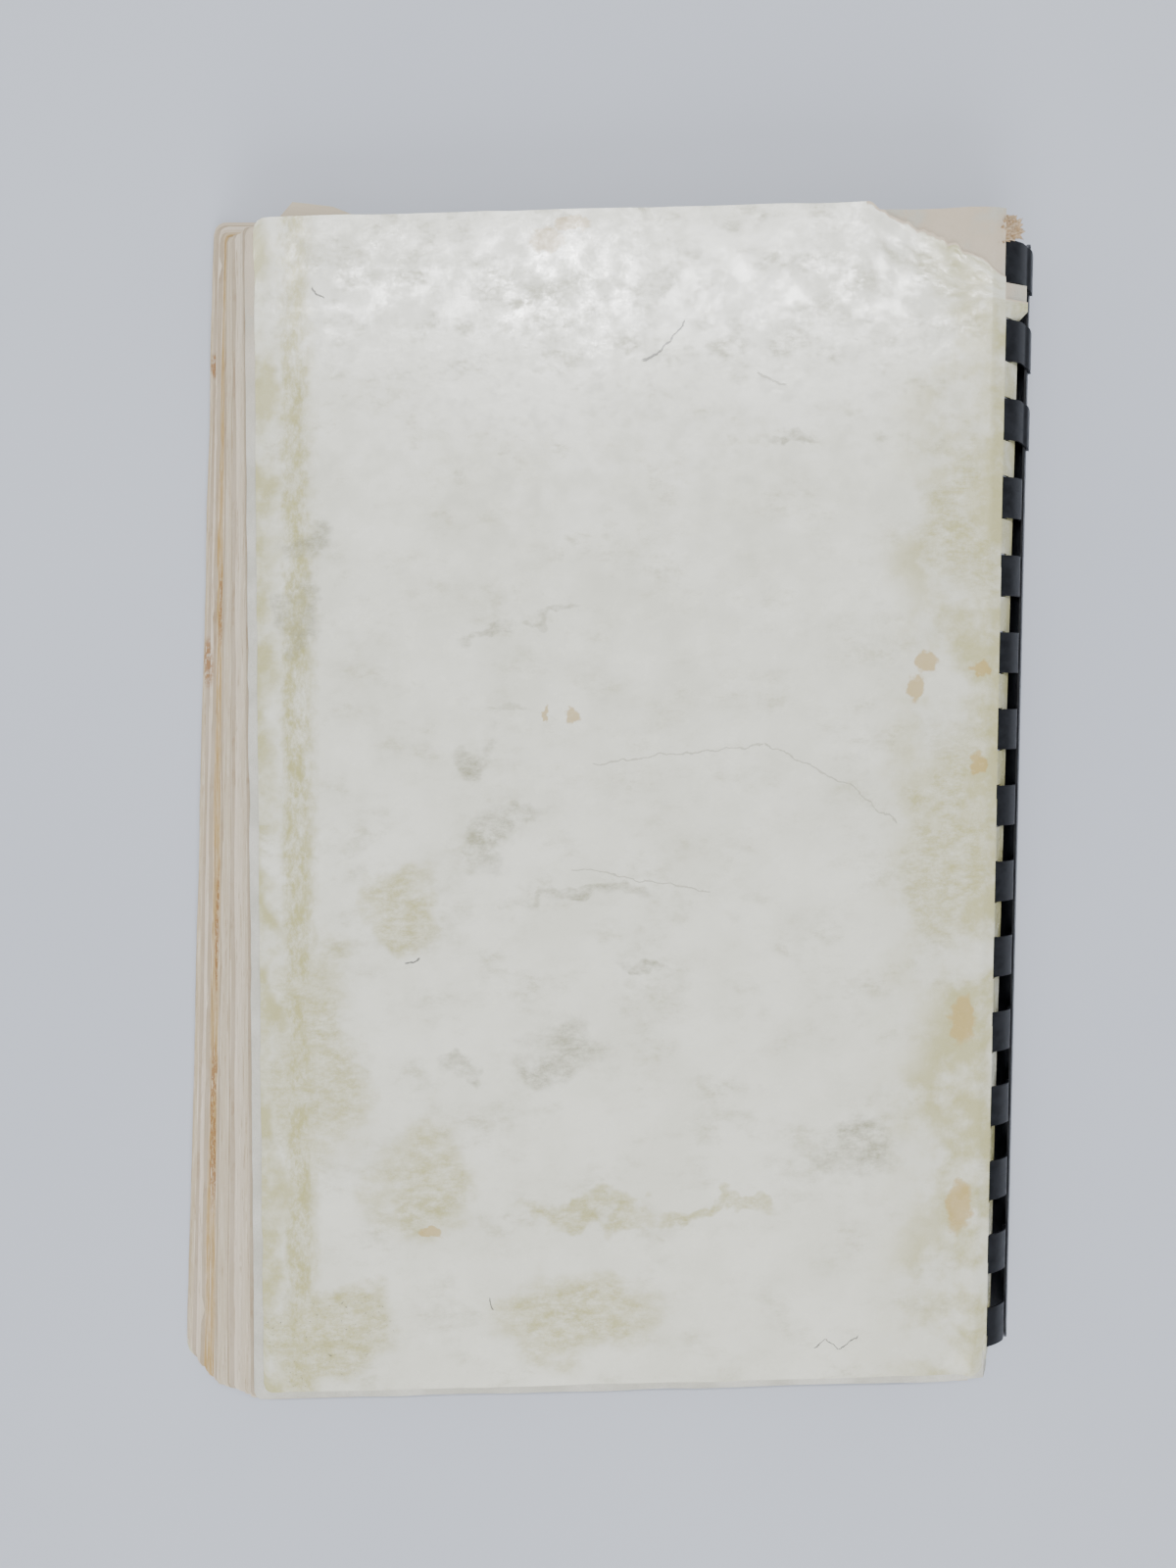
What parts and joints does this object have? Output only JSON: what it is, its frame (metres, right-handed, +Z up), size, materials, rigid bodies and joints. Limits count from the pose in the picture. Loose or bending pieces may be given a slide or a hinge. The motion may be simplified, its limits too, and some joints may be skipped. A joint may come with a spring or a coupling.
{
  "type": "comb-bound book",
  "caption": "Worn comb-bound book with a white card cover and a black plastic comb; the covers and leaves turn on the comb.",
  "frame": {"origin": "on the resting surface, below the middle of the closed book's bounding box", "axes": "+X towards the comb, +Y towards the head of the book, +Z up out of the back cover, with the book lying closed on its front cover"},
  "size_m": [0.16, 0.2238, 0.0228],
  "materials": {
    "cover_card": "gloss-coated white card, yellowed and scuffed",
    "leaf_paper": "uncoated, aged to pinkish tan at the edges",
    "flyleaf_paper": "heavier grey-white paper",
    "comb_plastic": "satin black"
  },
  "bodies": {
    "front_cover": {"front_cover": "cover_card"},
    "leaves_front": {"front_cover_binding_edge": "cover_card", "leaves_01": "leaf_paper", "leaves_02": "leaf_paper", "leaves_03": "leaf_paper", "leaves_04": "leaf_paper", "leaves_05": "leaf_paper", "leaves_06": "leaf_paper", "leaves_07": "leaf_paper", "leaves_08": "leaf_paper", "leaves_09": "leaf_paper"},
    "leaf_fan_1": {"leaves_10": "leaf_paper"},
    "leaf_fan_2": {"leaves_11": "leaf_paper"},
    "leaf_fan_3": {"leaves_12": "leaf_paper"},
    "leaf_fan_4": {"leaves_13": "leaf_paper"},
    "leaf_fan_5": {"leaves_14": "leaf_paper"},
    "leaf_fan_6": {"leaves_15": "leaf_paper"},
    "leaves_back": {"leaves_16": "leaf_paper", "leaves_17": "leaf_paper", "leaves_18": "leaf_paper", "leaves_19": "leaf_paper", "leaves_20": "leaf_paper", "leaves_21": "leaf_paper", "leaves_22": "leaf_paper", "leaves_23": "leaf_paper", "leaves_24": "leaf_paper", "back_flyleaf": "flyleaf_paper", "back_cover_binding_edge": "cover_card"},
    "back_cover": {"back_cover": "cover_card"},
    "comb": {"comb_backbone": "comb_plastic", "comb_fingers_tucked": "comb_plastic", "comb_fingers_sprung": "comb_plastic"}
  },
  "joints": [
    {"name": "front_cover_opening", "type": "hinge", "parent": "front_cover", "child": "leaves_front", "pos_m": [0.05731, 0.00218, 0.00753], "axis": [0, 1, 0], "range_deg": [0, 90]},
    {"name": "book_opening", "type": "hinge", "parent": "leaves_front", "child": "leaves_back", "pos_m": [0.06904, 0.00218, 0.011], "axis": [0, 1, 0], "range_deg": [0, 155]},
    {"name": "back_cover_opening", "type": "hinge", "parent": "leaves_back", "child": "back_cover", "pos_m": [0.07235, 0.00218, 0.02207], "axis": [0, 1, 0], "range_deg": [0, 90]},
    {"name": "comb_roll", "type": "hinge", "parent": "leaves_front", "child": "comb", "pos_m": [0.06904, 0.00218, 0.011], "axis": [0, 1, 0], "range_deg": [0, 133]},
    {"name": "leaf_fan_1_turn", "type": "hinge", "parent": "leaves_front", "child": "leaf_fan_1", "pos_m": [0.06904, 0.00218, 0.011], "axis": [0, 1, 0], "range_deg": [0, 22.16]},
    {"name": "leaf_fan_2_turn", "type": "hinge", "parent": "leaves_front", "child": "leaf_fan_2", "pos_m": [0.06904, 0.00218, 0.011], "axis": [0, 1, 0], "range_deg": [0, 44.29]},
    {"name": "leaf_fan_3_turn", "type": "hinge", "parent": "leaves_front", "child": "leaf_fan_3", "pos_m": [0.06904, 0.00218, 0.011], "axis": [0, 1, 0], "range_deg": [0, 66.44]},
    {"name": "leaf_fan_4_turn", "type": "hinge", "parent": "leaves_front", "child": "leaf_fan_4", "pos_m": [0.06904, 0.00218, 0.011], "axis": [0, 1, 0], "range_deg": [0, 88.58]},
    {"name": "leaf_fan_5_turn", "type": "hinge", "parent": "leaves_front", "child": "leaf_fan_5", "pos_m": [0.06904, 0.00218, 0.011], "axis": [0, 1, 0], "range_deg": [0, 110.73]},
    {"name": "leaf_fan_6_turn", "type": "hinge", "parent": "leaves_front", "child": "leaf_fan_6", "pos_m": [0.06904, 0.00218, 0.011], "axis": [0, 1, 0], "range_deg": [0, 132.86]}
  ],
  "couplings": [
    {"joint": "comb_roll", "follows": "book_opening", "ratio": 0.858},
    {"joint": "leaf_fan_1_turn", "follows": "book_opening", "ratio": 0.1429},
    {"joint": "leaf_fan_2_turn", "follows": "book_opening", "ratio": 0.2857},
    {"joint": "leaf_fan_3_turn", "follows": "book_opening", "ratio": 0.4286},
    {"joint": "leaf_fan_4_turn", "follows": "book_opening", "ratio": 0.5714},
    {"joint": "leaf_fan_5_turn", "follows": "book_opening", "ratio": 0.7143},
    {"joint": "leaf_fan_6_turn", "follows": "book_opening", "ratio": 0.8571}
  ]
}
